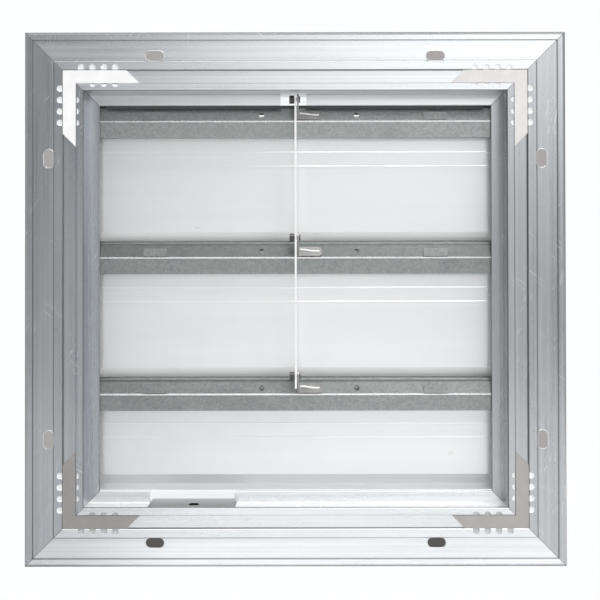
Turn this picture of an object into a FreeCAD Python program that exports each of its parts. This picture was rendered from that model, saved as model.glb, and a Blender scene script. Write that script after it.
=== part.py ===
"""Duct backdraft damper: a mitred aluminium frame with three linked gravity blades.

The flange lies in the XZ plane and faces -Y, the neck runs towards +Y, and +Z is up.
The origin is the centre of the flange face. Lengths are millimetres.
"""
import FreeCAD, Part
import math
import os
import Sketcher

SIZES = {
    # Frame section, across the flange
    "opening": 300.0,
    "extra_width": 5.0,
    "inner_rib": 5.2,
    "channel_width": 9.6,
    "outer_rib": 6.4,
    "band_width": 15.1,
    "lip_width": 6.0,
    "line_width": 0.7,
    "line_depth": 0.5,
    "edge_bevel": 2.3,
    "edge_ease": 0.4,
    # Frame section, along the depth
    "channel_depth": 2.6,
    "band_drop": 0.8,
    "plate": 2.0,
    "casing_wall": 1.6,
    "casing_depth": 60.0,
    "stop_depth": 20.0,
    "stop_wall": 1.6,
    "stop_width": 8.4,
    # Fixing slots in the broad band
    "slot_length": 13.6,
    "slot_width": 7.6,
    "slot_inset": 17.5,
    "slot_spacing": 202.0,
    # Corner keys and the stakes that hold them
    "key_thickness": 2.2,
    "key_side_gap": 0.15,
    "key_arm": 45.8,
    "stake_width": 4.6,
    "stake_depth": 1.1,
    "stake_draft": 28.0,
    "stake_pitch": 8.2,
    "stake_start": 13.4,
    "outer_stake_length": 4.2,
    "inner_stake_length": 2.6,
    # Cut-outs in the blade stop and the hole in the casing floor
    "top_notch_width": 19.2,
    "top_notch_x": -1.3,
    "bottom_notch_width": 62.0,
    "bottom_notch_x": -76.0,
    "drain_radius": 3.75,
    "drain_x": -74.3,
    "drain_depth": 13.0,
    # Seal strips behind the top blade stop
    "seal_thickness": 2.6,
    "seal_width": 7.6,
    "seal_drop": 1.9,
    "seal_end_gap": 4.9,
    # Blades and their pivots
    "top_pivot_drop": 10.5,
    "blade_pitch": 100.8,
    "stop_clearance": 0.4,
    "blade_end_gap": 2.0,
    "blade_sheet": 1.2,
    "blade_offset": 1.4,
    "blade_top": 4.4,
    "joggle_run": 7.4,
    "joggle_step": 3.4,
    "lip_drop": 8.4,
    "blade_drop": 90.6,
    "lower_knee_rise": 18.8,
    "lower_lip_drop": 4.8,
    "rib_width": 1.2,
    "rib_height": 0.5,
    "first_rib_share": 0.2,
    "rib_spacing": 10.4,
    # Stiffener strips
    "strip_end_gap": 3.5,
    "strip_sheet": 1.0,
    "bend_forward": 6.5,
    "bend_drop": 9.1,
    "bead_height": 1.8,
    "bead_rise": 0.5,
    "lower_leaf": 11.9,
    "return_flange": 9.0,
    "strip_hole_radius": 1.9,
    "strip_hole_rise": 4.6,
    "left_hole_x": -24.9,
    "right_hole_x": 45.2,
    # Pivot rods and bushings
    "rod_radius": 2.5,
    "rod_overhang": 2.4,
    "running_gap": 0.05,
    "seat_gap": 0.1,
    "bush_wall": 1.5,
    "bush_flange_radius": 5.6,
    "bush_flange": 1.5,
    "bush_overhang": 1.2,
    # Rivets between blade and strip
    "rivet_radius": 1.6,
    "rivet_head_radius": 3.0,
    "rivet_head": 1.0,
    "rivet_tail_radius": 2.4,
    "rivet_spacing": 70.0,
    "rivet_rise": 5.5,
    # Linkage
    "pin_forward": 12.7,
    "pin_rise": 2.0,
    "pin_radius": 1.5,
    "pin_head_radius": 3.0,
    "pin_head": 3.6,
    "pin_tail_radius": 2.3,
    "pin_tail": 1.0,
    "bar_left": -0.5,
    "bar_thickness": 1.5,
    "bar_width": 6.0,
    "bar_top_margin": 3.2,
    "bar_bottom_margin": 9.0,
    "link_gap": 0.4,
    "bracket_sheet": 1.2,
    "ear_radius": 4.0,
    "foot_drop": 4.9,
    "foot_width": 7.0,
    "foot_length": 18.2,
    "foot_round": 3.0,
}
BLADES = ("upper", "middle", "lower")
SIDES = {"left": -1, "right": 1}
RAILS = ("top", "right", "bottom", "left")
CORNERS = ("top_right", "bottom_right", "bottom_left", "top_left")
OUTER_STAKES = 4
INNER_STAKES = 3
RIVETS_PER_STRIP = 5
SHEET_NAME = "Sizes"
TOLERANCE = 1e-6
HALF_OPENING = "Sizes.opening / 2"
SIDE_SHIFT = "(Sizes.extra_width / 2)"
FLANGE = "(Sizes.inner_rib + Sizes.channel_width + Sizes.outer_rib + Sizes.band_width + Sizes.lip_width)"
HALF_OUTER = f"({HALF_OPENING} + {FLANGE})"
CHANNEL_IN = f"({HALF_OPENING} + Sizes.inner_rib)"
CHANNEL_OUT = f"({CHANNEL_IN} + Sizes.channel_width)"
RIB_OUT = f"({CHANNEL_OUT} + Sizes.outer_rib)"
LIP_IN = f"({RIB_OUT} + Sizes.band_width)"
CASING_OUT = f"({HALF_OPENING} + Sizes.casing_wall)"
STOP_EDGE = f"({HALF_OPENING} - Sizes.stop_width)"
STOP_FRONT = "(Sizes.stop_depth - Sizes.stop_wall)"
CHANNEL_BACK = "(Sizes.channel_depth + Sizes.plate)"
BAND_BACK = "(Sizes.band_drop + Sizes.plate)"
PIVOT_DEPTH = "(Sizes.stop_depth + Sizes.stop_clearance + Sizes.bend_forward)"
SEAM_BORE = "(Sizes.rod_radius + Sizes.running_gap)"
SEAM_RADIUS = f"({SEAM_BORE} + Sizes.strip_sheet)"
BUSH_RADIUS = f"({SEAM_BORE} + Sizes.bush_wall)"
RIVET_DROP = "(Sizes.bend_drop + Sizes.lower_leaf - Sizes.rivet_rise)"
EAR_LEFT = "(Sizes.bar_left + Sizes.bar_thickness + Sizes.link_gap)"
LEAF_FRONT = "(Sizes.bend_forward - Sizes.bead_rise)"
LEAF_END = "(Sizes.bend_drop - Sizes.bead_height / 2)"
STRIP_FOOT = "(Sizes.bend_drop + Sizes.lower_leaf)"
LOWER_DROP = (f"(Sizes.opening - Sizes.top_pivot_drop - {len(BLADES) - 1} * Sizes.blade_pitch"
              " - Sizes.lower_knee_rise)")
OPENING_WIDTH = "(Sizes.opening + Sizes.extra_width)"
BLADE_LENGTH = f"({OPENING_WIDTH} - 2 * Sizes.blade_end_gap)"
STRIP_LENGTH = f"({OPENING_WIDTH} - 2 * Sizes.strip_end_gap)"

doc = FreeCAD.newDocument("BackdraftDamper")
sheet = doc.addObject("Spreadsheet::Sheet", SHEET_NAME)


def fill_sheet():
    """Write the driving dimensions, one row each, with an alias."""
    for row, (name, value) in enumerate(SIZES.items(), start=1):
        sheet.set(f"A{row}", name)
        sheet.set(f"B{row}", str(value))
        sheet.setAlias(f"B{row}", name)
    doc.recompute()


def size(name):
    """The sheet's value of one driving dimension, in millimetres."""
    return float(getattr(sheet, name))


def value_of(expression):
    """The number that an expression of the sheet stands for."""
    return float(sheet.evalExpression(expression))


def plane_of(body, role):
    """One of a body's own origin planes, by its role."""
    return next(item for item in body.Origin.OriginFeatures if item.Role == role)


def new_body(label):
    """An empty body that will be one piece of the damper."""
    body = doc.addObject("PartDesign::Body", label)
    body.Label = label
    return body


def new_sketch(body, role, name):
    """An empty sketch on one of the body's origin planes."""
    sketch = body.newObject("Sketcher::SketchObject", name)
    sketch.AttachmentSupport = [(plane_of(body, role), "")]
    sketch.MapMode = "FlatFace"
    return sketch


def pin_point(sketch, geometry, position, across, up):
    """Bind a sketch point's two coordinates to expressions of the sheet."""
    for kind, expression in (("DistanceX", across), ("DistanceY", up)):
        number = value_of(expression)
        index = sketch.addConstraint(Sketcher.Constraint(kind, -1, 1, geometry, position, number))
        sketch.setExpression(f"Constraints[{index}]", expression)


def add_polygon(sketch, corners):
    """A closed outline through corners given as pairs of expressions."""
    points = [FreeCAD.Vector(value_of(across), value_of(up), 0) for across, up in corners]
    following = points[1:] + points[:1]
    lines = [sketch.addGeometry(Part.LineSegment(a, b)) for a, b in zip(points, following)]
    for line, after in zip(lines, lines[1:] + lines[:1]):
        sketch.addConstraint(Sketcher.Constraint("Coincident", line, 2, after, 1))
    for line, (across, up) in zip(lines, corners):
        pin_point(sketch, line, 1, across, up)


def add_rectangle(sketch, left, right, low, high):
    """A closed rectangle between four expressions."""
    add_polygon(sketch, [(left, low), (right, low), (right, high), (left, high)])


def add_circle(sketch, across, up, radius):
    """A circle whose centre and radius are expressions."""
    centre = FreeCAD.Vector(value_of(across), value_of(up), 0)
    circle = sketch.addGeometry(Part.Circle(centre, FreeCAD.Vector(0, 0, 1), value_of(radius)))
    pin_point(sketch, circle, 3, across, up)
    index = sketch.addConstraint(Sketcher.Constraint("Radius", circle, value_of(radius)))
    sketch.setExpression(f"Constraints[{index}]", radius)


def add_slot(sketch, across, up, length, width, upright=False):
    """A round-ended slot along the sketch's first axis or upright, centred on two expressions."""
    radius = f"({width}) / 2"
    reach = f"(({length}) - ({width})) / 2"
    arcs = []
    for sign in (1, -1):
        turn = (0 if upright else -math.pi / 2) + (0 if sign > 0 else math.pi)
        shift = f" + {sign} * {reach}"
        place, height = (across, up + shift) if upright else (across + shift, up)
        centre = FreeCAD.Vector(value_of(place), value_of(height), 0)
        round_end = Part.Circle(centre, FreeCAD.Vector(0, 0, 1), value_of(radius))
        arc = sketch.addGeometry(Part.ArcOfCircle(round_end, turn, turn + math.pi))
        pin_point(sketch, arc, 3, place, height)
        index = sketch.addConstraint(Sketcher.Constraint("Radius", arc, value_of(radius)))
        sketch.setExpression(f"Constraints[{index}]", radius)
        for end in (1, 2):
            level = "Horizontal" if upright else "Vertical"
            sketch.addConstraint(Sketcher.Constraint(level, arc, 3, arc, end))
        arcs.append(arc)
    right, left = arcs
    for start, finish in ((right, left), (left, right)):
        a = sketch.getPoint(start, 2)
        b = sketch.getPoint(finish, 1)
        line = sketch.addGeometry(Part.LineSegment(a, b))
        sketch.addConstraint(Sketcher.Constraint("Coincident", start, 2, line, 1))
        sketch.addConstraint(Sketcher.Constraint("Coincident", line, 2, finish, 1))


def add_pad(body, sketch, name, length, both_ways=True):
    """Extrude a sketch by an expression, centred on its plane or away from it."""
    pad = body.newObject("PartDesign::Pad", name)
    pad.Profile = sketch
    pad.SideType = "Symmetric" if both_ways else "One side"
    pad.setExpression("Length", length)
    doc.recompute()
    return pad


def add_pocket(body, sketch, name, length=None, along_normal=False):
    """Cut a sketch through everything, or to a depth on one side of its plane."""
    before = body.Shape.Volume
    pocket = body.newObject("PartDesign::Pocket", name)
    pocket.Profile = sketch
    if length is None:
        pocket.Type = "ThroughAll"
        pocket.SideType = "Symmetric"
    else:
        pocket.Type = "Length"
        pocket.Reversed = along_normal
        pocket.setExpression("Length", length)
    doc.recompute()
    if body.Shape.Volume >= before:
        raise RuntimeError(f"{name} cut nothing from {body.Label}")
    return pocket


def add_cylinder(name, radius, length, start, along_x=True):
    """A Part cylinder from expressions, lying along X from a start expression."""
    cylinder = doc.addObject("Part::Cylinder", name)
    cylinder.setExpression("Radius", radius)
    cylinder.setExpression("Height", length)
    if along_x:
        cylinder.Placement.Rotation = FreeCAD.Rotation(FreeCAD.Vector(0, 1, 0), 90)
        cylinder.setExpression("Placement.Base.x", start)
    return cylinder


def join(name, pieces):
    """One solid from several overlapping pieces."""
    fuse = doc.addObject("Part::MultiFuse", name)
    fuse.Shapes = pieces
    fuse.Refine = True
    return fuse


def cut(name, base, tool):
    """What is left of a base after a tool."""
    result = doc.addObject("Part::Cut", name)
    result.Base = base
    result.Tool = tool
    result.Refine = True
    return result


def quarter_turn(names, name):
    """The angle of one of a closed round of sides or corners, in degrees."""
    return 360 / len(names) * names.index(name)


def turn_about_depth(angle):
    """A placement that turns a piece about the axis of the duct."""
    return FreeCAD.Placement(FreeCAD.Vector(), FreeCAD.Rotation(FreeCAD.Vector(0, 1, 0), angle))


def pivot_height(blade):
    """The height of one blade's pivot above the centre, as an expression."""
    return f"({HALF_OPENING} - Sizes.top_pivot_drop - {BLADES.index(blade)} * Sizes.blade_pitch)"


def pivot_placement(blade, turn=0.0):
    """The placement of a piece drawn about one blade's pivot."""
    base = FreeCAD.Vector(0, value_of(PIVOT_DEPTH), value_of(pivot_height(blade)))
    return FreeCAD.Placement(base, FreeCAD.Rotation(FreeCAD.Vector(1, 0, 0), turn))


# Frame rails


def rail_section():
    """The extrusion's outline as (depth, distance from the centre) expressions."""
    zero = "0"
    ease = "Sizes.edge_ease"
    line = "Sizes.line_width"
    valley = "(Sizes.band_drop + Sizes.line_depth)"
    return [
        (ease, HALF_OPENING),
        (zero, f"{HALF_OPENING} + {ease}"),
        (zero, f"{CHANNEL_IN} - {ease}"),
        (ease, CHANNEL_IN),
        ("Sizes.channel_depth", CHANNEL_IN),
        ("Sizes.channel_depth", CHANNEL_OUT),
        (ease, CHANNEL_OUT),
        (zero, f"{CHANNEL_OUT} + {ease}"),
        (zero, f"{RIB_OUT} - {ease}"),
        (ease, RIB_OUT),
        (valley, RIB_OUT),
        (valley, f"{RIB_OUT} + {line}"),
        ("Sizes.band_drop", f"{RIB_OUT} + {line}"),
        ("Sizes.band_drop", f"{LIP_IN} - {line}"),
        (valley, f"{LIP_IN} - {line}"),
        (valley, LIP_IN),
        ("Sizes.band_drop / 2", LIP_IN),
        ("Sizes.band_drop / 2", f"{HALF_OUTER} - Sizes.edge_bevel"),
        ("Sizes.band_drop / 2 + Sizes.edge_bevel", HALF_OUTER),
        (CHANNEL_BACK, HALF_OUTER),
        (CHANNEL_BACK, f"{HALF_OUTER} - Sizes.plate"),
        (BAND_BACK, f"{HALF_OUTER} - Sizes.plate"),
        (BAND_BACK, f"{RIB_OUT} + Sizes.plate"),
        (CHANNEL_BACK, RIB_OUT),
        (CHANNEL_BACK, CASING_OUT),
        ("Sizes.casing_depth", CASING_OUT),
        ("Sizes.casing_depth", HALF_OPENING),
        ("Sizes.stop_depth", HALF_OPENING),
        ("Sizes.stop_depth", STOP_EDGE),
        (f"{STOP_FRONT} + {ease}", STOP_EDGE),
        (STOP_FRONT, f"{STOP_EDGE} + {ease}"),
        (STOP_FRONT, HALF_OPENING),
    ]


def cut_mitres(body, stretch):
    """Trim both ends of a rail at 45 degrees, each moved out by the rail's stretch."""
    sketch = new_sketch(body, "XZ_Plane", "MitreSketch")
    near = f"({STOP_EDGE} - Sizes.plate)"
    far = f"({HALF_OUTER} + Sizes.plate)"
    for sign in ("", "-"):
        start, end = f"{sign}({near} + {stretch})", f"{sign}({far} + {stretch})"
        add_polygon(sketch, [(start, near), (end, near), (end, far)])
    add_pocket(body, sketch, "Mitres")


def cut_slots(body):
    """Two fixing slots in the broad band."""
    sketch = new_sketch(body, "XZ_Plane", "SlotSketch")
    for sign in (-1, 1):
        place = f"{sign} * Sizes.slot_spacing / 2"
        add_slot(sketch, place, f"{HALF_OUTER} - Sizes.slot_inset", "Sizes.slot_length", "Sizes.slot_width")
    add_pocket(body, sketch, "FixingSlots")


def stake_places(count, stretch):
    """The last stakes of a row at both ends of a rail, as expressions."""
    first = f"{CHANNEL_OUT} + {stretch} - Sizes.stake_start"
    numbers = range(OUTER_STAKES - count, OUTER_STAKES)
    return [f"{sign}({first} - {number} * Sizes.stake_pitch)" for sign in ("", "-") for number in numbers]


def cut_stakes(body, stretch):
    """The round-ended stakes that hold the corner keys at both ends of a rail."""
    rows = (
        (CHANNEL_OUT, OUTER_STAKES, "Sizes.outer_stake_length"),
        (CHANNEL_IN, INNER_STAKES, "Sizes.inner_stake_length"),
    )
    sketch = new_sketch(body, "XZ_Plane", "StakeSketch")
    for edge, count, length in rows:
        for place in stake_places(count, stretch):
            add_slot(sketch, place, edge, f"2 * {length}", "Sizes.stake_width", upright=True)
    pocket = add_pocket(body, sketch, "Stakes", "Sizes.stake_depth")
    pocket.setExpression("TaperAngle", "-Sizes.stake_draft")
    doc.recompute()


def cut_stop_notch(body, centre, width):
    """A rectangular cut-out in the blade stop, down to the casing wall."""
    sketch = new_sketch(body, "XZ_Plane", "NotchSketch")
    low = f"({STOP_EDGE} - Sizes.plate)"
    add_rectangle(sketch, f"{centre} - {width} / 2", f"{centre} + {width} / 2", low, HALF_OPENING)
    add_pocket(body, sketch, "StopNotch")


def cut_casing_holes(body, places, radius):
    """Round holes in the casing wall at (along, depth) places."""
    sketch = new_sketch(body, "XY_Plane", "CasingHoleSketch")
    for along, depth in places:
        add_circle(sketch, along, depth, radius)
    add_pocket(body, sketch, "CasingHoles", HALF_OUTER, along_normal=True)


def make_rail(side):
    """One mitred rail, drawn as the top one and turned to its side."""
    body = new_body(f"{side}_rail")
    sketch = new_sketch(body, "YZ_Plane", "SectionSketch")
    add_polygon(sketch, rail_section())
    stretch = "0" if side in SIDES else SIDE_SHIFT
    add_pad(body, sketch, "Extrusion", f"2 * ({HALF_OUTER} + {stretch})")
    cut_mitres(body, stretch)
    cut_slots(body)
    cut_stakes(body, stretch)
    if side == "top":
        cut_stop_notch(body, "Sizes.top_notch_x", "Sizes.top_notch_width")
    elif side == "bottom":
        cut_stop_notch(body, "-Sizes.bottom_notch_x", "Sizes.bottom_notch_width")
        cut_casing_holes(body, [("-Sizes.drain_x", "Sizes.drain_depth")], "Sizes.drain_radius")
    else:
        sign = -SIDES[side]
        places = [(f"{sign} * {pivot_height(blade)}", PIVOT_DEPTH) for blade in BLADES]
        cut_casing_holes(body, places, f"{BUSH_RADIUS} + Sizes.seat_gap")
    body.Placement = turn_about_depth(quarter_turn(RAILS, side))
    if side in SIDES:
        body.setExpression("Placement.Base.x", f"{SIDES[side]} * {SIDE_SHIFT}")
    return body


def make_key(corner):
    """One flat L-shaped corner key with 45 degree ends, drawn at the top right corner."""
    body = new_body(f"key_{corner}")
    sketch = new_sketch(body, "XZ_Plane", "KeySketch")
    outer = f"({CHANNEL_OUT} - Sizes.key_side_gap)"
    inner = f"({CHANNEL_IN} + Sizes.key_side_gap)"
    end = f"({outer} - Sizes.key_arm)"
    tip = f"({end} - ({outer} - {inner}))"
    add_polygon(sketch, [
        (outer, outer), (end, outer), (tip, inner), (inner, inner), (inner, tip), (outer, end),
    ])
    pad = add_pad(body, sketch, "Plate", "Sizes.key_thickness", both_ways=False)
    pad.Reversed = True
    turned = turn_about_depth(quarter_turn(CORNERS, corner))
    turned.Base = FreeCAD.Vector(0, size("channel_depth") - size("key_thickness"), 0)
    body.Placement = turned
    side = corner.split("_")[1]
    body.setExpression("Placement.Base.x", f"{SIDES[side]} * {SIDE_SHIFT}")
    return body


def make_seal(side):
    """One dark seal strip on the back of the top blade stop, beside its cut-out."""
    sign = SIDES[side]
    notch = f"(Sizes.top_notch_x + {sign} * Sizes.top_notch_width / 2)"
    end = f"({sign} * ({STOP_EDGE} + {SIDE_SHIFT} - Sizes.seal_end_gap))"
    seal = doc.addObject("Part::Box", f"top_seal_{side}")
    seal.setExpression("Length", f"{sign} * ({end} - {notch})")
    seal.setExpression("Width", "Sizes.seal_thickness")
    seal.setExpression("Height", "Sizes.seal_width")
    seal.setExpression("Placement.Base.x", notch if sign > 0 else end)
    seal.setExpression("Placement.Base.y", "Sizes.stop_depth")
    seal.setExpression("Placement.Base.z", f"{STOP_EDGE} - Sizes.seal_drop")
    return seal


# Blades and strips, drawn about their pivot


def blade_section(drop, lip):
    """A blade sheet's outline: flat, two fine ribs on the front, a step back and a lip."""
    front = "Sizes.blade_offset"
    back = "(Sizes.blade_offset + Sizes.blade_sheet)"
    raised = "(Sizes.blade_offset - Sizes.rib_height)"
    ribs = []
    for number in range(2):
        first = f"{STRIP_FOOT} + Sizes.first_rib_share * ({LOWER_DROP} - {STRIP_FOOT})"
        top = f"-({first} + {number} * Sizes.rib_spacing)"
        base = f"({top} - Sizes.rib_width)"
        ribs += [(front, top), (raised, top), (raised, base), (front, base)]
    knee = f"-({drop})"
    step_end = f"(-({drop}) - Sizes.joggle_run)"
    end = f"({step_end} - {lip})"
    outline = [(front, "-Sizes.blade_top")] + ribs
    outline += [
        (front, knee),
        (f"{front} + Sizes.joggle_step", step_end),
        (f"{front} + Sizes.joggle_step", end),
        (f"{back} + Sizes.joggle_step", end),
        (f"{back} + Sizes.joggle_step", step_end),
        (back, knee),
        (back, "-Sizes.blade_top"),
    ]
    return outline


def rivet_places():
    """Rivet places along a strip, as expressions."""
    middle = (RIVETS_PER_STRIP - 1) / 2
    return [f"{number - middle} * Sizes.rivet_spacing" for number in range(RIVETS_PER_STRIP)]


def add_rivet_circles(sketch):
    """The rivet holes shared by a blade and its strip."""
    for place in rivet_places():
        add_circle(sketch, place, f"-{RIVET_DROP}", "Sizes.rivet_radius + Sizes.running_gap")


def make_blade(blade):
    """One aluminium blade sheet."""
    body = new_body(f"blade_{blade}")
    drop, lip = "Sizes.blade_drop", "Sizes.lip_drop"
    if blade == BLADES[-1]:
        drop, lip = LOWER_DROP, "Sizes.lower_lip_drop"
    sketch = new_sketch(body, "YZ_Plane", "SectionSketch")
    add_polygon(sketch, blade_section(drop, lip))
    add_pad(body, sketch, "Sheet", BLADE_LENGTH)
    holes = new_sketch(body, "XZ_Plane", "RivetSketch")
    add_rivet_circles(holes)
    add_pocket(body, holes, "RivetHoles")
    body.Placement = pivot_placement(blade)
    return body


def strip_section():
    """A strip's folded outline: upper leaf, beaded bend, lower leaf and hidden return flange."""
    sheet_wall = "Sizes.strip_sheet"
    touch = "Sizes.blade_offset"
    low = f"-{STRIP_FOOT}"
    return [
        (f"-{SEAM_RADIUS}", "0"),
        (f"-{LEAF_FRONT}", f"-{LEAF_END}"),
        ("-Sizes.bend_forward", "-(Sizes.bend_drop - Sizes.bead_height / 4)"),
        ("-Sizes.bend_forward", "-(Sizes.bend_drop + Sizes.bead_height / 4)"),
        (f"-{LEAF_FRONT}", "-(Sizes.bend_drop + Sizes.bead_height / 2)"),
        (f"-{LEAF_FRONT}", low),
        (touch, low),
        (touch, f"{low} + Sizes.return_flange"),
        (f"{touch} - {sheet_wall}", f"{low} + Sizes.return_flange"),
        (f"{touch} - {sheet_wall}", f"{low} + {sheet_wall}"),
        (f"-{LEAF_FRONT} + {sheet_wall}", f"{low} + {sheet_wall}"),
        (f"-{LEAF_FRONT} + {sheet_wall}", f"-{LEAF_END}"),
        (f"-{SEAM_RADIUS} + {sheet_wall}", "0"),
    ]


def make_strip(blade):
    """One galvanised strip: a folded leaf with a rolled seam for the pivot rod."""
    body = new_body(f"strip_leaf_{blade}")
    sketch = new_sketch(body, "YZ_Plane", "SectionSketch")
    add_polygon(sketch, strip_section())
    add_pad(body, sketch, "Leaf", STRIP_LENGTH)
    openings = new_sketch(body, "XZ_Plane", "OpeningSketch")
    for place in ("Sizes.left_hole_x", "Sizes.right_hole_x"):
        add_circle(openings, place, "Sizes.strip_hole_rise - Sizes.bend_drop", "Sizes.strip_hole_radius")
    add_pocket(body, openings, "Openings", "Sizes.bend_forward", along_normal=True)
    rivet_holes = new_sketch(body, "XZ_Plane", "RivetSketch")
    add_rivet_circles(rivet_holes)
    add_pocket(body, rivet_holes, "RivetHoles", "Sizes.blade_offset")
    start = f"-{STRIP_LENGTH} / 2"
    roll = add_cylinder(f"seam_roll_{blade}", SEAM_RADIUS, STRIP_LENGTH, start)
    bore = add_cylinder(f"seam_bore_{blade}", SEAM_BORE, STRIP_LENGTH, start)
    strip = cut(f"strip_{blade}", join(f"strip_solid_{blade}", [body, roll]), bore)
    strip.Placement = pivot_placement(blade)
    return strip


def make_rod(blade):
    """One pivot rod that runs through the seam and both bushings."""
    half = f"({CASING_OUT} + {SIDE_SHIFT} + Sizes.bush_overhang + Sizes.rod_overhang)"
    rod = add_cylinder(f"rod_{blade}", "Sizes.rod_radius", f"2 * {half}", f"-{half}")
    rod.Placement = pivot_placement(blade).multiply(rod.Placement)
    rod.setExpression("Placement.Base.x", f"-{half}")
    return rod


def make_bushing(blade, side):
    """One flanged plastic bushing in a side casing wall."""
    name = f"bushing_{blade}_{side}"
    start = f"({HALF_OPENING} + {SIDE_SHIFT} - Sizes.bush_flange)"
    reach = f"({CASING_OUT} + {SIDE_SHIFT} + Sizes.bush_overhang - {start})"
    flange = add_cylinder(f"{name}_flange", "Sizes.bush_flange_radius", "Sizes.bush_flange", start)
    sleeve = add_cylinder(f"{name}_sleeve", BUSH_RADIUS, reach, start)
    bore = add_cylinder(f"{name}_bore", SEAM_BORE, reach, start)
    bushing = cut(name, join(f"{name}_solid", [flange, sleeve]), bore)
    facing = FreeCAD.Rotation(FreeCAD.Vector(0, 0, 1), 0 if SIDES[side] > 0 else 180)
    bushing.Placement = FreeCAD.Placement(pivot_placement(blade).Base, facing)
    return bushing


def make_rivets(blade):
    """The blind rivets that hold one blade on its strip's return flange."""
    shank_start = "(Sizes.blade_offset - Sizes.strip_sheet - Sizes.rivet_head)"
    back = "(Sizes.blade_offset + Sizes.blade_sheet)"
    rivets = []
    for number, place in enumerate(rivet_places(), start=1):
        name = f"rivet_{blade}_{number}"
        spans = (
            ("tail", "Sizes.rivet_tail_radius", shank_start, "Sizes.rivet_head"),
            ("shank", "Sizes.rivet_radius", shank_start, f"{back} - {shank_start}"),
            ("head", "Sizes.rivet_head_radius", back, "Sizes.rivet_head"),
        )
        pieces = []
        for part_name, radius, start, length in spans:
            cylinder = add_cylinder(f"{name}_{part_name}", radius, length, "0", along_x=False)
            cylinder.Placement.Rotation = FreeCAD.Rotation(FreeCAD.Vector(1, 0, 0), -90)
            cylinder.setExpression("Placement.Base.x", place)
            cylinder.setExpression("Placement.Base.y", start)
            cylinder.setExpression("Placement.Base.z", f"-{RIVET_DROP}")
            pieces.append(cylinder)
        rivets.append(join(name, pieces))
    group = doc.addObject("Part::Compound", f"strip_rivets_{blade}")
    group.Links = rivets
    group.Placement = pivot_placement(blade)
    return group


# Linkage, drawn on the upper leaf: first axis forward from the leaf, second axis up along it


def leaf_turn():
    """The upper leaf's lean from the vertical, in degrees."""
    return math.degrees(math.atan2(value_of(LEAF_FRONT) - value_of(SEAM_RADIUS), value_of(LEAF_END)))


def leaf_placement(blade):
    """The placement of a piece drawn on one strip's upper leaf."""
    start = FreeCAD.Placement(FreeCAD.Vector(0, -value_of(SEAM_RADIUS), 0),
                              FreeCAD.Rotation(FreeCAD.Vector(1, 0, 0), -leaf_turn()))
    return pivot_placement(blade).multiply(start)


def end_edges(shape):
    """The names of a flat plate's two corner edges at its far end along X."""
    end = shape.BoundBox.XMax
    names = []
    for number, edge in enumerate(shape.Edges, start=1):
        across = edge.BoundBox.ZLength
        if edge.BoundBox.XMin > end - TOLERANCE and across < TOLERANCE:
            names.append(f"Edge{number}")
    return names


def make_bracket(blade):
    """One link bracket: a foot on the leaf and an ear that reaches forward round the pin."""
    body = new_body(f"bracket_{blade}")
    low = "(-Sizes.foot_drop - Sizes.foot_width / 2)"
    high = "(-Sizes.foot_drop + Sizes.foot_width / 2)"
    foot = new_sketch(body, "XZ_Plane", "FootSketch")
    add_rectangle(foot, EAR_LEFT, f"{EAR_LEFT} + Sizes.foot_length", low, high)
    pad = add_pad(body, foot, "Foot", "Sizes.bracket_sheet", both_ways=False)
    rounding = body.newObject("PartDesign::Fillet", "FootEnd")
    rounding.Base = (pad, end_edges(pad.Shape))
    rounding.setExpression("Radius", "Sizes.foot_round")
    doc.recompute()
    web = new_sketch(body, "YZ_Plane", "WebSketch")
    web.setExpression("AttachmentOffset.Base.z", EAR_LEFT)
    add_polygon(web, [
        ("0", low),
        ("0", high),
        ("-Sizes.pin_forward", "Sizes.pin_rise + Sizes.ear_radius"),
        ("-Sizes.pin_forward", "Sizes.pin_rise - Sizes.ear_radius"),
    ])
    add_pad(body, web, "Web", "Sizes.bracket_sheet", both_ways=False)
    boss = new_sketch(body, "YZ_Plane", "EarSketch")
    boss.setExpression("AttachmentOffset.Base.z", EAR_LEFT)
    add_circle(boss, "-Sizes.pin_forward", "Sizes.pin_rise", "Sizes.ear_radius")
    add_pad(body, boss, "Ear", "Sizes.bracket_sheet", both_ways=False)
    hole = new_sketch(body, "YZ_Plane", "PinHoleSketch")
    add_circle(hole, "-Sizes.pin_forward", "Sizes.pin_rise", "Sizes.pin_radius + Sizes.running_gap")
    add_pocket(body, hole, "PinHole")
    body.Placement = leaf_placement(blade)
    return body


def make_link_pin(blade):
    """One riveted pin through the tie bar and a bracket's ear."""
    head_end = "(Sizes.bar_left - Sizes.link_gap / 2)"
    tail_start = f"({EAR_LEFT} + Sizes.bracket_sheet)"
    spans = (
        ("head", "Sizes.pin_head_radius", f"{head_end} - Sizes.pin_head", "Sizes.pin_head"),
        ("shank", "Sizes.pin_radius", head_end, f"{tail_start} - {head_end}"),
        ("tail", "Sizes.pin_tail_radius", tail_start, "Sizes.pin_tail"),
    )
    pieces = [add_cylinder(f"pin_{part_name}_{blade}", radius, length, start)
              for part_name, radius, start, length in spans]
    pin = join(f"link_pin_{blade}", pieces)
    pin.Placement = FreeCAD.Placement(pin_centre(blade), FreeCAD.Rotation())
    return pin


def pin_centre(blade):
    """The centre of one link pin with the blades closed."""
    place = FreeCAD.Vector(0, -size("pin_forward"), size("pin_rise"))
    return leaf_placement(blade).multVec(place)


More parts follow.
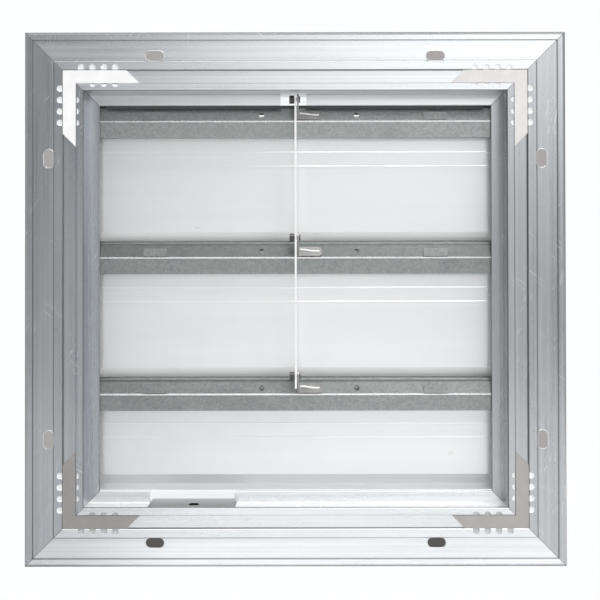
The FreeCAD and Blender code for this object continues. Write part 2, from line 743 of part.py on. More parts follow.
def make_tie_bar():
    """The flat bar that joins the three link pins."""
    body = new_body("tie_bar")
    sketch = new_sketch(body, "YZ_Plane", "BarSketch")
    half = "Sizes.bar_width / 2"
    reach = f"({len(BLADES) - 1} * Sizes.blade_pitch + Sizes.bar_bottom_margin)"
    add_rectangle(sketch, f"-{half}", half, f"-{reach}", "Sizes.bar_top_margin")
    for number in range(len(BLADES)):
        add_circle(sketch, "0", f"-{number} * Sizes.blade_pitch", "Sizes.pin_radius + Sizes.running_gap")
    add_pad(body, sketch, "Bar", "Sizes.bar_thickness", both_ways=False)
    base = pin_centre(BLADES[0])
    base.x = size("bar_left")
    body.Placement = FreeCAD.Placement(base, FreeCAD.Rotation())
    return body


def check(pieces):
    """Stop if any object failed or any piece has no valid shape."""
    for item in doc.Objects:
        if "Invalid" in item.State or "Error" in item.State:
            raise RuntimeError(f"{item.Label} failed: {item.State}")
    for piece in pieces:
        if piece.Shape.isNull() or not piece.Shape.isValid():
            raise RuntimeError(f"{piece.Label} has no valid shape")


def main():
    """Build every piece, check it and write one STEP file each."""
    fill_sheet()
    pieces = [make_rail(side) for side in RAILS]
    pieces += [make_key(corner) for corner in CORNERS]
    pieces += [make_seal(side) for side in SIDES]
    for blade in BLADES:
        pieces += [make_blade(blade), make_strip(blade), make_rod(blade), make_rivets(blade)]
        pieces += [make_bracket(blade), make_link_pin(blade)]
        pieces += [make_bushing(blade, side) for side in SIDES]
    pieces.append(make_tie_bar())
    doc.recompute()
    check(pieces)
    os.makedirs("parts", exist_ok=True)
    for piece in pieces:
        piece.Shape.exportStep(f"parts/{piece.Label}.step")


main()
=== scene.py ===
"""Looks of the duct backdraft damper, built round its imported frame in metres."""
import logging
import math
from dataclasses import dataclass, field
from enum import Enum
from typing import Any, Iterable, Sequence, Union

import bpy
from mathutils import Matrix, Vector


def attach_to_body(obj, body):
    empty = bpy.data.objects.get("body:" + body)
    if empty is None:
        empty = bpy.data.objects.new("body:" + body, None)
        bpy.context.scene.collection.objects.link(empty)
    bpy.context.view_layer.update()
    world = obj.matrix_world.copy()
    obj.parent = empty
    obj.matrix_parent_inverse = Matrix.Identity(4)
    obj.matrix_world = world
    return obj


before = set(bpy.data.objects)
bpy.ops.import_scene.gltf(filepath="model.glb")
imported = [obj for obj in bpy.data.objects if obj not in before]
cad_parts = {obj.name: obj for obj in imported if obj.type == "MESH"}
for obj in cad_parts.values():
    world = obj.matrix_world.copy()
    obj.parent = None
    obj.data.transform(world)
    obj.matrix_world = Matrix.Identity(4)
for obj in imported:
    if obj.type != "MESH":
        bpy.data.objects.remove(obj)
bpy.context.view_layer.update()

LOG = logging.getLogger("damper")
MM = 0.001
BLADES = ("upper", "middle", "lower")
# The neck is wider than high, so the side rails stand this much further out.
SIDE_SHIFT = 2.5 * MM
# The drain hole's middle in the bottom rail's casing wall.
DRAIN_X = -74.3 * MM
DRAIN_Y = 13.0 * MM
# A card's corners in order, in half sizes.
CORNERS = ((-1, -1), (1, -1), (1, 1), (-1, 1))
Colour = tuple[float, float, float, float]
Point = tuple[float, float, float]
Span = tuple[float, float]
Number = Union[float, "Field"]


class Run(Enum):
    """The direction that a length of metal was drawn or rolled in."""

    ALONG_X = "x"
    ALONG_Z = "z"


def grey(level: float, warm: float = 0.0) -> Colour:
    """A grey colour, warmed towards yellow or cooled towards blue by a small share."""
    return (level * (1 + warm), level, level * (1 - warm), 1.0)


class Field:
    """A number that varies over a surface: a socket that takes part in Python arithmetic."""

    def __init__(self, graph: "Graph", socket: bpy.types.NodeSocket) -> None:
        """Wrap a socket.

        Args:
            graph: the graph that new nodes are added to.
            socket: the output that holds the number.
        """
        self.graph = graph
        self.socket = socket

    def _with(self, operation: str, first: Number, second: Number = 0.0) -> "Field":
        """Add one Math node.

        Args:
            operation: the node's operation.
            first: its first number or field.
            second: its second number or field.

        Returns:
            The field that the node gives.
        """
        node = self.graph.add("ShaderNodeMath", {"operation": operation}, {0: first, 1: second})
        return Field(self.graph, node.outputs[0])

    def __add__(self, other: Number) -> "Field":
        """This field plus another."""
        return self._with("ADD", self, other)

    def __radd__(self, other: Number) -> "Field":
        """A number plus this field."""
        return self._with("ADD", other, self)

    def __sub__(self, other: Number) -> "Field":
        """This field less another."""
        return self._with("SUBTRACT", self, other)

    def __rsub__(self, other: Number) -> "Field":
        """A number less this field."""
        return self._with("SUBTRACT", other, self)

    def __mul__(self, other: Number) -> "Field":
        """This field times another."""
        return self._with("MULTIPLY", self, other)

    def __rmul__(self, other: Number) -> "Field":
        """A number times this field."""
        return self._with("MULTIPLY", other, self)

    def __truediv__(self, other: Number) -> "Field":
        """This field divided by another."""
        return self._with("DIVIDE", self, other)

    def __rtruediv__(self, other: Number) -> "Field":
        """A number divided by this field."""
        return self._with("DIVIDE", other, self)

    def __abs__(self) -> "Field":
        """This field without its sign."""
        return self._with("ABSOLUTE", self)

    def high(self, other: Number) -> "Field":
        """The higher of this field and another."""
        return self._with("MAXIMUM", self, other)

    def rise(self, start: float, end: float) -> "Field":
        """A smooth step from 0 at one value to 1 at another.

        Args:
            start: the value where the step leaves 0.
            end: the value where it reaches 1, which may be the lower one.

        Returns:
            The stepped field.
        """
        turned = start > end
        settings = {"interpolation_type": "SMOOTHSTEP"}
        low, high = (end, start) if turned else (start, end)
        sockets = {"Value": self, "From Min": low, "From Max": high}
        node = self.graph.add("ShaderNodeMapRange", settings, sockets)
        stepped = Field(self.graph, node.outputs[0])
        return 1 - stepped if turned else stepped


class Graph:
    """A node tree that is written as expressions and one method for any other node."""

    def __init__(self, tree: bpy.types.NodeTree) -> None:
        """Empty a tree and keep it.

        Args:
            tree: the tree to write in.
        """
        self.tree = tree
        tree.nodes.clear()

    def add(
        self, kind: str, settings: dict[str, Any], sockets: dict[Union[str, int], Any],
    ) -> bpy.types.Node:
        """Add one node.

        Args:
            kind: the node's type.
            settings: its properties, set first.
            sockets: numbers, colours, fields or sockets by input name or place.

        Returns:
            The new node.
        """
        node = self.tree.nodes.new(kind)
        for name, value in settings.items():
            setattr(node, name, value)
        for name, value in sockets.items():
            target = node.inputs[name]
            source = value.socket if isinstance(value, Field) else value
            if isinstance(source, bpy.types.NodeSocket):
                self.tree.links.new(source, target)
            else:
                target.default_value = source
        return node

    def split(self, vector: bpy.types.NodeSocket) -> tuple[Field, Field, Field]:
        """The three parts of a vector as fields."""
        node = self.add("ShaderNodeSeparateXYZ", {}, {0: vector})
        return tuple(Field(self, output) for output in node.outputs)

    def place(self) -> tuple[Field, Field, Field]:
        """A point's X, Y and Z on its own piece, in metres."""
        return self.split(self.add("ShaderNodeTexCoord", {}, {}).outputs["Object"])

    def join(self, x: Number, y: Number, z: Number) -> bpy.types.NodeSocket:
        """A vector made of three numbers or fields."""
        return self.add("ShaderNodeCombineXYZ", {}, {0: x, 1: y, 2: z}).outputs[0]

    def noise(
        self, vector: bpy.types.NodeSocket, scale: float, detail: float = 3.0, rough: float = 0.55,
    ) -> Field:
        """A cloudy field between about 0 and 1.

        Args:
            vector: the place that it is read at.
            scale: how many clouds go in a unit.
            detail: the number of finer layers.
            rough: how strong the finer layers are.

        Returns:
            The field.
        """
        sockets = {"Vector": vector, "Scale": scale, "Detail": detail, "Roughness": rough}
        return Field(self, self.add("ShaderNodeTexNoise", {}, sockets).outputs[0])

    def cells(self, vector: bpy.types.NodeSocket, scale: float) -> tuple[Field, bpy.types.NodeSocket]:
        """Crystal-like cells.

        Args:
            vector: the place that they are read at.
            scale: how many cells go in a unit.

        Returns:
            The distance from each cell's middle, and each cell's own random colour.
        """
        node = self.add("ShaderNodeTexVoronoi", {}, {"Vector": vector, "Scale": scale})
        return Field(self, node.outputs["Distance"]), node.outputs["Color"]

    def mix(self, share: Number, first: Any, second: Any) -> bpy.types.NodeSocket:
        """A colour between two.

        Args:
            share: 0 for the first and 1 for the second.
            first: a colour or a colour socket.
            second: a colour or a colour socket.

        Returns:
            The mixed colour.
        """
        settings = {"data_type": "RGBA", "clamp_factor": True}
        node = self.add("ShaderNodeMix", settings, {0: share, 6: first, 7: second})
        return node.outputs[2]

    def bump(self, height: Field, depth: float, strength: float = 1.0) -> bpy.types.NodeSocket:
        """A surface direction bent by a height field.

        Args:
            height: the field, from 0 to 1.
            depth: the height of 1 in metres.
            strength: the share of the effect that is kept.

        Returns:
            The bent direction.
        """
        sockets = {"Strength": strength, "Distance": depth, "Height": height}
        return self.add("ShaderNodeBump", {}, sockets).outputs[0]

    def surface(self, **sockets: Any) -> bpy.types.Node:
        """Close a material with one Principled shader.

        Args:
            sockets: the shader's inputs, with underscores for blanks.

        Returns:
            The shader node.
        """
        named = {name.replace("_", " "): value for name, value in sockets.items()}
        shader = self.add("ShaderNodeBsdfPrincipled", {}, named)
        self.add("ShaderNodeOutputMaterial", {}, {"Surface": shader.outputs[0]})
        return shader


@dataclass(frozen=True)
class Finish:
    """What every finish has: a name, and a way to become a material."""

    name: str

    def paint(self, graph: Graph) -> None:
        """Write the finish's nodes."""
        raise NotImplementedError

    def material(self) -> bpy.types.Material:
        """The finish's material, made once.

        Returns:
            The material.
        """
        made = bpy.data.materials.get(self.name)
        if made is None:
            made = bpy.data.materials.new(self.name)
            made.use_nodes = True
            self.paint(Graph(made.node_tree))
        return made


@dataclass(frozen=True)
class DrawnAluminium(Finish):
    """Mill aluminium as it leaves the press: die lines, stains and light scratches."""

    run: Run = Run.ALONG_X
    level: float = 0.80
    warm: float = -0.012
    shade: float = 0.62
    roughness: float = 0.2
    metallic: float = 0.93
    matte_metallic: float = 0.13
    mitre: float = 0.35 * MM
    half_opening: float = 150.0 * MM
    # Where the painted shade lines run across the profile, and how dark each is.
    grooves: tuple[Span, ...] = (
        (0.0 * MM, 0.9), (5.2 * MM, 0.5), (14.8 * MM, 0.8),
        (21.2 * MM, 0.7), (36.3 * MM, 0.55), (41.9 * MM, 0.35),
    )
    groove_half: float = 0.6 * MM
    groove_depth: Span = (4.0 * MM, 3.0 * MM)
    # Where the painted shade line on the stop's lip runs, and how dark it is.
    stop_reach: float = 8.4 * MM
    stop_share: float = 0.75
    grime_and_shade: float = 0.3
    ribs: tuple[Span, ...] = ((0.7 * MM, 4.7 * MM), (15.3 * MM, 20.7 * MM))
    stake_depths: Span = (0.3 * MM, 1.3 * MM)
    stake_margin: float = 0.15 * MM
    stake_level: float = 0.98
    wall_skin: Span = (0.8 * MM, 0.4 * MM)
    wall_end: Span = (33.0 * MM, 31.0 * MM)
    # Painted light: how much of the neck's wall is whitened and made matte, how white, and how deep it
    # starts.
    wall_light: float = 0.0
    wall_light_level: float = 0.97
    wall_light_start: Span = (3.0 * MM, 5.0 * MM)
    # Painted shade on the neck's wall: how much, the span along the rail, its edge, where it starts and
    # fades in depth, and how much rougher it is.
    wall_shade: float = 0.35
    wall_shade_span: Span = (-200.0 * MM, 200.0 * MM)
    wall_shade_edge: float = 1.0 * MM
    wall_shade_start: Span = (1.5 * MM, 3.0 * MM)
    wall_shade_fade: Span = (60.0 * MM, 10.0 * MM)
    wall_shade_rough: float = 0.25
    drain_radius: float = 0.0
    drain_skin: Span = (3.0 * MM, 2.0 * MM)

    def paint(self, graph: Graph) -> None:
        """Write the nodes of the drawn metal.

        Args:
            graph: the material's graph.
        """
        x, y, z = graph.place()
        along, across = (x, z) if self.run is Run.ALONG_X else (z, x)
        lines = graph.noise(graph.join(along * 0.45, across * 330, y * 330), 1.0, 2.0, 0.6)
        fine = graph.noise(graph.join(along * 1.5, across * 800, y * 800), 1.0, 1.0)
        cloud = graph.noise(graph.join(along * 5, across * 60, y * 60), 1.0, 4.0)
        blotch = graph.noise(graph.join(x, y, z), 120.0, 5.0, 0.65)
        scratch = self._scratches(graph, x, y, z)
        joint = abs(abs(x) - abs(z) - SIDE_SHIFT).rise(self.mitre, self.mitre * 0.4)
        tone = lines.rise(0.3, 0.7) * 0.45 + cloud.rise(0.3, 0.7) * 0.35 + fine * 0.2
        low, high = grey(self.level * 0.84, self.warm * 2.5), grey(self.level * 1.1, self.warm)
        colour = graph.mix(tone, low, high)
        colour = graph.mix(blotch.rise(0.6, 0.78) * 0.2, colour, grey(self.level * self.shade))
        colour = graph.mix(scratch * 0.7, colour, grey(0.97))
        colour = graph.mix(joint * 0.75, colour, grey(0.06))
        half = self.half_opening + (SIDE_SHIFT if self.run is Run.ALONG_Z else 0.0)
        outward = abs(across) - half
        start, end = self.wall_shade_span
        shaded_span = along.rise(start - self.wall_shade_edge, start) * along.rise(end + self.wall_shade_edge, end)
        skin = abs(outward).rise(*self.wall_skin)
        # Painted light: the neck's wall is whitened and made matte outside the painted shade, as though
        # light falls on it.
        wall = skin * y.rise(*self.wall_light_start) * y.rise(*self.wall_end)
        painted_wall_light = wall * (1.0 - shaded_span) * self.wall_light
        colour = graph.mix(painted_wall_light, colour, grey(self.wall_light_level))
        # Painted shade on the grooves, the stop's lip and the neck's wall.
        colour = self._shade_lines_and_wall(graph, colour, outward, y, shaded_span * self.wall_shade)
        # Painted shade: the drain hole's wall is painted almost black.
        if self.drain_radius:
            off, deep = x - DRAIN_X, y - DRAIN_Y
            area = self.drain_radius**2
            bore = (off * off + deep * deep).rise(area * 1.08, area)
            colour = graph.mix(bore * abs(outward).rise(*self.drain_skin), colour, grey(0.01))
        # The stakes are painted near white and matte: bare metal with a painted highlight, and painted
        # shade where a rail keeps them darker.
        stake_marks = self._stakes(outward, y)
        colour = graph.mix(stake_marks, colour, grey(self.stake_level))
        rough = self.roughness + cloud * 0.1 + lines * 0.06 + scratch * 0.12 + joint * 0.3 + stake_marks * 0.25
        rough = rough + wall * shaded_span * (self.wall_shade * self.wall_shade_rough)
        metallic = self.metallic - stake_marks.high(painted_wall_light) * (self.metallic - self.matte_metallic)
        height = lines * 0.7 + fine * 0.25 + blotch * 0.05 - scratch * 0.3
        graph.surface(
            Base_Color=colour, Metallic=metallic, Roughness=rough,
            Normal=graph.bump(height, 0.05 * MM, 0.4),
        )

    def _shade_lines_and_wall(
        self, graph: Graph, colour: bpy.types.NodeSocket, outward: Field, y: Field, wall_shade: Field,
    ) -> bpy.types.NodeSocket:
        """Painted shade in the profile's grooves, on the stop's lip and on the neck's wall in front of the
        blade.

        Args:
            graph: the material's graph.
            colour: the clean metal's colour.
            outward: the distance outward from the neck's wall.
            y: the depth.
            wall_shade: how much of the wall is covered.

        Returns:
            The colour with the grime.
        """
        grime_and_shade = grey(self.level * self.grime_and_shade)
        narrow = (self.groove_half, self.groove_half * 0.45)
        face = y.rise(*self.groove_depth)
        # Painted shade: thin dark lines along the grooves and steps of the profile.
        for place, share in self.grooves:
            line = abs(outward - place).rise(*narrow) * face
            colour = graph.mix(line * share, colour, grime_and_shade)
        # Painted shade: a thin dark line along the stop's lip.
        lip = abs(outward + self.stop_reach).rise(*narrow)
        colour = graph.mix(lip * self.stop_share, colour, grime_and_shade)
        # Painted shade on the neck's wall in front of the blade, fading deeper in.
        wall = abs(outward).rise(*self.wall_skin) * y.rise(*self.wall_shade_start)
        wall = wall * y.rise(*self.wall_shade_fade) * y.rise(*self.wall_end)
        return graph.mix(wall * wall_shade, colour, grime_and_shade)

    def _stakes(self, outward: Field, y: Field) -> Field:
        """Where the stakes lie, known by their depth in the ribs.

        Args:
            outward: the distance outward from the neck's wall.
            y: the depth.

        Returns:
            1 in a stake and 0 elsewhere.
        """
        margin = self.stake_margin
        inner, outer = (
            outward.rise(start - margin, start + margin) * outward.rise(end + margin, end - margin)
            for start, end in self.ribs
        )
        top, floor = self.stake_depths
        deep = y.rise(top - margin, top + margin) * y.rise(floor + margin, floor - margin)
        return inner.high(outer) * deep

    @staticmethod
    def _scratches(graph: Graph, x: Field, y: Field, z: Field) -> Field:
        """Short bright scratches at three angles.

        Args:
            graph: the material's graph.
            x: the place across.
            y: the depth.
            z: the height.

        Returns:
            1 on a scratch and 0 elsewhere.
        """
        found: Number = 0.0
        for angle, reach, seed in ((58.0, 55.0, 3.1), (-37.0, 70.0, 8.7), (82.0, 60.0, 14.3)):
            cos, sin = math.cos(math.radians(angle)), math.sin(math.radians(angle))
            lengthwise = x * cos + z * sin
            crosswise = z * cos - x * sin
            place = graph.join(lengthwise * reach, y * reach + seed, crosswise * 2300)
            streak = graph.noise(place, 1.0, 0.0)
            patch = graph.noise(graph.join(x + seed, y, z), 38.0, 1.0)
            one = streak.rise(0.74, 0.8) * patch.rise(0.55, 0.64)
            found = one if isinstance(found, float) else found.high(one)
        return found


@dataclass(frozen=True)
class KeyStock(Finish):
    """Matte corner key metal with a fine grain and small pits."""

    level: float = 0.8
    warm: float = 0.03
    metallic: float = 0.3

    def paint(self, graph: Graph) -> None:
        """Write the nodes of the key metal.

        Args:
            graph: the material's graph.
        """
        x, y, z = graph.place()
        place = graph.join(x, y, z)
        grain = graph.noise(place, 900.0, 3.0, 0.6)
        cloud = graph.noise(place, 90.0, 3.0)
        pits = graph.noise(place, 420.0, 2.0).rise(0.68, 0.78)
        low, high = grey(self.level * 0.93, self.warm * 1.5), grey(self.level, self.warm)
        colour = graph.mix(cloud.rise(0.3, 0.7), low, high)
        colour = graph.mix(pits * 0.35, colour, grey(self.level * 0.6, self.warm))
        graph.surface(
            Base_Color=colour, Metallic=self.metallic, Roughness=0.46 + grain * 0.14,
            Normal=graph.bump(grain * 0.7 - pits, 0.06 * MM, 0.6),
        )


@dataclass(frozen=True)
class RolledSheet(Finish):
    """Pale rolled aluminium sheet with a faint lengthwise grain and handling marks."""

    level: float = 0.95
    metallic: float = 0.68
    roughness: float = 0.28
    crests: tuple[float, ...] = ()
    crest_half: float = 0.75 * MM
    crest_height: float = 12.0
    crest_ends: Span = (-75.0 * MM, 15.0 * MM)
    step: Span = (0.0, 0.0)
    step_edge: float = 0.3 * MM
    step_level: float = 0.97
    step_metallic: float = 0.1

    def paint(self, graph: Graph) -> None:
        """Write the nodes of the sheet, with a painted highlight along the ribs.

        Args:
            graph: the material's graph.
        """
        x, y, z = graph.place()
        grain = graph.noise(graph.join(x * 5, y * 900, z * 900), 1.0, 3.0)
        bands = graph.noise(graph.join(x * 3, y * 60, z * 60), 1.0, 3.0)
        cloud = graph.noise(graph.join(x, y, z), 16.0, 3.0)
        rubs = graph.noise(graph.join(x * 45, y * 300, z * 800), 1.0, 1.0).rise(0.72, 0.8)
        tone = bands.rise(0.3, 0.7) * 0.5 + grain * 0.3
        colour = graph.mix(tone, grey(self.level * 0.94, -0.004), grey(self.level))
        colour = graph.mix(cloud.rise(0.55, 0.75) * 0.2, colour, grey(self.level * 0.86, -0.008))
        colour = graph.mix(rubs * 0.35, colour, grey(0.96))
        height = grain * 0.7 + bands * 0.3
        full = x.rise(*self.crest_ends) * self.crest_height
        # Painted highlight along each rib crest, patchy along its length; the bump rounds the crest, taller
        # towards the right.
        for crest in self.crests:
            off = abs(z - crest)
            crest_highlight = off.rise(self.crest_half, self.crest_half * 0.7)
            colour = graph.mix(crest_highlight * bands.rise(0.2, 0.6), colour, grey(0.99))
            height = height + off.rise(self.crest_half, 0.0) * full
        # Painted light and shade on the sloped step of the lip: its own level, metallic and roughness set
        # how bright the slope looks.
        low, high = self.step
        edge = self.step_edge
        sloped = z.rise(low - edge, low + edge) * z.rise(high + edge, high - edge)
        colour = graph.mix(sloped, colour, grey(self.step_level))
        metallic = self.metallic + sloped * (self.step_metallic - self.metallic)
        rough = self.roughness + cloud * 0.08 + grain * 0.05 - rubs * 0.06 + sloped * 0.2
        graph.surface(
            Base_Color=colour, Metallic=metallic, Roughness=rough,
            Normal=graph.bump(height, 0.04 * MM, 0.5),
        )


@dataclass(frozen=True)
class SpangledZinc(Finish):
    """Hot-dip galvanised sheet: frosted crystals of several sizes and dull patches."""

    level: float = 0.36
    crystals: float = 480.0
    bend: float = 0.0
    bead: float = 0.75 * MM
    crown: Span = (8.4 * MM, 10.4 * MM)
    crown_shade: float = 0.75
    leaf_shade: float = 0.0

    def paint(self, graph: Graph) -> None:
        """Write the nodes of the zinc, with rubbed wear and a painted highlight along the bend, and painted
        shade on the rolled seam and the upper leaf.

        Args:
            graph: the material's graph.
        """
        x, y, z = graph.place()
        bent = graph.noise(graph.join(x, y, z), 60.0, 2.0)
        place = graph.join(x + bent * 0.006, y + bent * 0.004, z + bent * 0.006)
        _, large = graph.cells(place, self.crystals)
        edge, small = graph.cells(place, self.crystals * 2.6)
        first, second, third = graph.split(large)
        fine, _, _ = graph.split(small)
        speckle = graph.noise(graph.join(x, y, z), 1500.0, 3.0, 0.7)
        patch = graph.noise(graph.join(x * 0.7, y, z), 22.0, 3.0)
        specks = graph.noise(graph.join(x, y, z), 1000.0, 1.0).rise(0.62, 0.7)
        tone = first * 0.25 + fine * 0.3 + speckle * 0.45
        low = (self.level * 0.66, self.level * 0.71, self.level * 0.7, 1.0)
        high = (self.level * 1.27, self.level * 1.33, self.level * 1.31, 1.0)
        colour = graph.mix(tone, low, high)
        colour = graph.mix(patch.rise(0.5, 0.75) * 0.2 + specks * 0.4, colour, (0.14, 0.155, 0.15, 1.0))
        # Painted shade on the rolled seam's crown and, where set, over the whole upper leaf.
        above = z - self.bend
        painted_shade = (above.rise(0.0, self.bead) * self.leaf_shade).high(above.rise(*self.crown) * self.crown_shade)
        colour = graph.mix(painted_shade, colour, (0.09, 0.1, 0.095, 1.0))
        # A brighter, smoother band along the bend: rubbed wear with a painted highlight.
        bend_wear_and_highlight = abs(z - self.bend).rise(self.bead, self.bead * 0.6) * patch.rise(0.15, 0.45)
        colour = graph.mix(bend_wear_and_highlight, colour, grey(0.95))
        rough = 0.29 + second * 0.14 + speckle * 0.08 - bend_wear_and_highlight * 0.1
        graph.surface(
            Base_Color=colour, Metallic=0.8, Roughness=rough,
            Normal=graph.bump(third * 0.3 + edge * 0.2 + speckle * 0.5, 0.06 * MM, 0.5),
        )


@dataclass(frozen=True)
class PlainMetal(Finish):
    """Small steel or aluminium pieces with turning or drawing marks and rubbed patches."""

    colour: Colour = (0.5, 0.5, 0.5, 1.0)
    dark: Colour = (0.2, 0.2, 0.2, 1.0)
    metallic: float = 0.9
    roughness: float = 0.32
    run: Run = Run.ALONG_X

    def paint(self, graph: Graph) -> None:
        """Write the nodes of the metal.

        Args:
            graph: the material's graph.
        """
        x, y, z = graph.place()
        along, across = (x, z) if self.run is Run.ALONG_X else (z, x)
        marks = graph.noise(graph.join(along * 40, across * 1600, y * 1600), 1.0, 3.0)
        cloud = graph.noise(graph.join(x, y, z), 180.0, 4.0, 0.6)
        tone = marks * 0.5 + cloud.rise(0.3, 0.7) * 0.5
        rough = self.roughness + cloud * 0.14 + marks * 0.06
        graph.surface(
            Base_Color=graph.mix(tone, self.dark, self.colour), Metallic=self.metallic, Roughness=rough,
            Normal=graph.bump(marks * 0.6 + cloud * 0.4, 0.04 * MM, 0.6),
        )


@dataclass(frozen=True)
class SoftSeal(Finish):
    """Dark foam-rubber seal with open pores and pale dust."""

    colour: Colour = (0.075, 0.08, 0.08, 1.0)

    def paint(self, graph: Graph) -> None:
        """Write the nodes of the rubber.

        Args:
            graph: the material's graph.
        """
        x, y, z = graph.place()
        place = graph.join(x, y, z)
        pores, _ = graph.cells(place, 1300.0)
        dust = graph.noise(place, 240.0, 4.0, 0.7)
        colour = graph.mix(dust.rise(0.5, 0.8) * 0.4, self.colour, (0.14, 0.145, 0.14, 1.0))
        graph.surface(
            Base_Color=colour, Roughness=0.78 + dust * 0.15,
            Normal=graph.bump(pores * 0.7 + dust * 0.3, 0.15 * MM, 0.7),
        )


@dataclass(frozen=True)
class MouldedPlastic(Finish):
    """Moulded nylon with a fine spark-eroded texture and grubby hollows."""

    colour: Colour = (0.78, 0.77, 0.72, 1.0)

    def paint(self, graph: Graph) -> None:
        """Write the nodes of the plastic.

        Args:
            graph: the material's graph.
        """
        x, y, z = graph.place()
        place = graph.join(x, y, z)
        texture = graph.noise(place, 2200.0, 2.0)
        grime_and_shade = graph.noise(place, 260.0, 4.0, 0.6)
        low = tuple(part * 0.72 for part in self.colour[:3]) + (1.0,)
        graph.surface(
            Base_Color=graph.mix(grime_and_shade.rise(0.45, 0.75) * 0.6, self.colour, low),
            Roughness=0.42 + texture * 0.16, Normal=graph.bump(texture, 0.05 * MM, 0.5),
        )


@dataclass(frozen=True)
class RoomCard(Finish):
    """A card that shines as faintly as the dim room that the photo shows through the slots."""

    colour: Colour = (0.42, 0.405, 0.4, 1.0)

    def paint(self, graph: Graph) -> None:
        """Write the nodes of the card.

        Args:
            graph: the material's graph.
        """
        x, y, z = graph.place()
        cloud = graph.noise(graph.join(x, y, z), 150.0, 2.0)
        darker = tuple(part * 0.94 for part in self.colour[:3]) + (1.0,)
        # The card only glows: painted light that stands for the room seen behind it.
        graph.surface(
            Base_Color=(0.0, 0.0, 0.0, 1.0), Roughness=1.0, Specular_IOR_Level=0.0,
            Emission_Color=graph.mix(cloud, darker, self.colour), Emission_Strength=1.0,
        )


@dataclass(frozen=True)
class StudioPaper(Finish):
    """Plain pale paper with a faint mottle, made greyer to the left as painted shade."""

    level: float = 0.94
    painted_shade: float = 0.6
    painted_shade_from: float = -70.0 * MM
    painted_shade_to: float = -190.0 * MM

    def paint(self, graph: Graph) -> None:
        """Write the nodes of the paper.

        Args:
            graph: the material's graph.
        """
        x, y, z = graph.place()
        fibre = graph.noise(graph.join(x, y, z), 300.0, 3.0)
        paper = graph.mix(fibre, grey(self.level * 0.985), grey(self.level))
        # Painted shade: the paper turns greyer to the left, so it sends less light up on that side.
        shaded = graph.mix(x.rise(self.painted_shade_from, self.painted_shade_to), paper, grey(self.painted_shade))
        graph.surface(Base_Color=shaded, Roughness=0.9)


def dress(nodes: Iterable[str], finish: Finish) -> None:
    """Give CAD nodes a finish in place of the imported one.

    Args:
        nodes: the nodes' names.
        finish: the finish that they get.
    """
    made = finish.material()
    for name in nodes:
        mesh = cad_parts[name].data
        mesh.materials.clear()
        mesh.materials.append(made)
        LOG.info("%s dressed as %s", name, finish.name)


class Repeater:
    """A Geometry Nodes tree that sets one small shape on many points of a body."""

    def __init__(self, name: str, sizes: dict[str, float]) -> None:
        """Start a tree with its named sizes.

        Args:
            name: the tree's name.
            sizes: its inputs and their values, in metres.
        """
        self.name = name
        self.sizes = sizes
        tree = bpy.data.node_groups.new(name, "GeometryNodeTree")
        tree.interface.new_socket("Geometry", in_out="INPUT", socket_type="NodeSocketGeometry")
        self.keys = {}
        for label, value in sizes.items():
            item = tree.interface.new_socket(label, in_out="INPUT", socket_type="NodeSocketFloat")
            item.default_value = value
            self.keys[label] = item.identifier
        tree.interface.new_socket("Geometry", in_out="OUTPUT", socket_type="NodeSocketGeometry")
        self.graph = Graph(tree)
        self.source = self.graph.add("NodeGroupInput", {}, {})

    def size(self, label: str) -> bpy.types.NodeSocket:
        """The socket of one named size."""
        return self.source.outputs[label]

    def close(
        self, shape: bpy.types.NodeSocket, material: bpy.types.Material, smooth: bool = True,
    ) -> None:
        """End the tree: the shape on every point, turned by the point's own angle.

        Args:
            shape: the geometry that repeats.
            material: the material that it gets.
            smooth: whether its faces shade into each other.
        """
        graph = self.graph
        turn = graph.add("GeometryNodeInputNamedAttribute", {"data_type": "FLOAT"}, {"Name": "turn"})
        angle = graph.add("ShaderNodeCombineXYZ", {}, {"Y": turn.outputs[0]})
        placed = graph.add("GeometryNodeInstanceOnPoints", {}, {
            "Points": self.source.outputs["Geometry"], "Instance": shape, "Rotation": angle.outputs[0],
        })
        real = graph.add("GeometryNodeRealizeInstances", {}, {0: placed.outputs[0]})
        shaded = graph.add("GeometryNodeSetShadeSmooth", {}, {
            "Geometry": real.outputs[0], "Shade Smooth": smooth,
        })
        painted = graph.add("GeometryNodeSetMaterial", {}, {
            "Geometry": shaded.outputs[0], "Material": material,
        })
        graph.add("NodeGroupOutput", {}, {0: painted.outputs[0]})

    def build(self, piece: str, points: Sequence[Point], turns: Sequence[float]) -> bpy.types.Object:
        """Run the tree on points and keep the result as a plain mesh.

        Args:
            piece: the new piece's name.
            points: where the shape goes.
            turns: its angle about the depth at each point, in radians.

        Returns:
            The finished object, at the origin.
        """
        seeds = bpy.data.meshes.new(piece + "_points")
        seeds.from_pydata(list(points), [], [])
        seeds.attributes.new("turn", "FLOAT", "POINT").data.foreach_set("value", list(turns))
        carrier = bpy.data.objects.new(piece, seeds)
        bpy.context.scene.collection.objects.link(carrier)
        modifier = carrier.modifiers.new(self.name, "NODES")
        modifier.node_group = self.graph.tree
        for label, value in self.sizes.items():
            modifier[self.keys[label]] = value
        bpy.context.view_layer.update()
        depsgraph = bpy.context.evaluated_depsgraph_get()
        result = bpy.data.meshes.new_from_object(carrier.evaluated_get(depsgraph), depsgraph=depsgraph)
        carrier.modifiers.remove(modifier)
        carrier.data = result
        bpy.data.meshes.remove(seeds)
        result.name = piece
        LOG.info("%s: %d faces", piece, len(result.polygons))
        return carrier


def attach(piece: bpy.types.Object, body: str) -> None:
    """Let a new piece ride on a body.

    Args:
        piece: the piece.
        body: the body that it moves with.
    """
    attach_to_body(piece, body)


